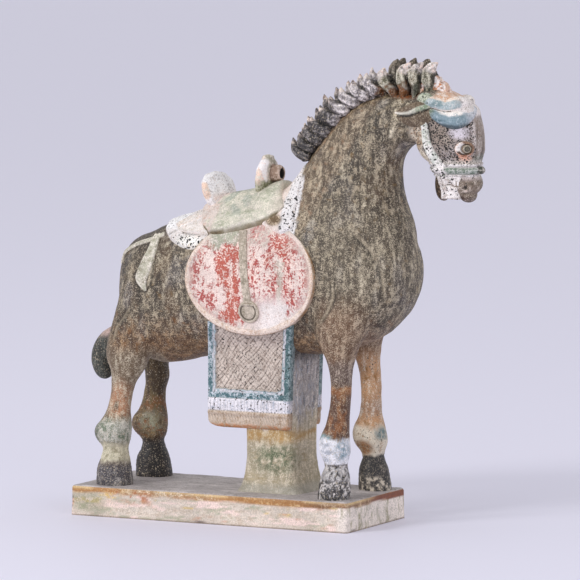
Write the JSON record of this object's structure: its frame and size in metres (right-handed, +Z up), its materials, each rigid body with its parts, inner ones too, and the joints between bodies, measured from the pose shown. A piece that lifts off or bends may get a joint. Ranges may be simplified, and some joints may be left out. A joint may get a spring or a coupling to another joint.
{
  "type": "pottery horse figurine",
  "caption": "Saddled pottery horse with a cropped mane and round flaps, standing on a slab with a draped pillar under its belly.",
  "frame": {"origin": "middle of the slab's underside", "axes": "+X points where the horse looks, +Y to its left, +Z up"},
  "size_m": [0.3333, 0.1008, 0.3554],
  "materials": {
    "painted_pottery": "worn glaze and paint on fired clay"
  },
  "bodies": {
    "root": {"pottery_horse": "painted_pottery"}
  },
  "joints": []
}
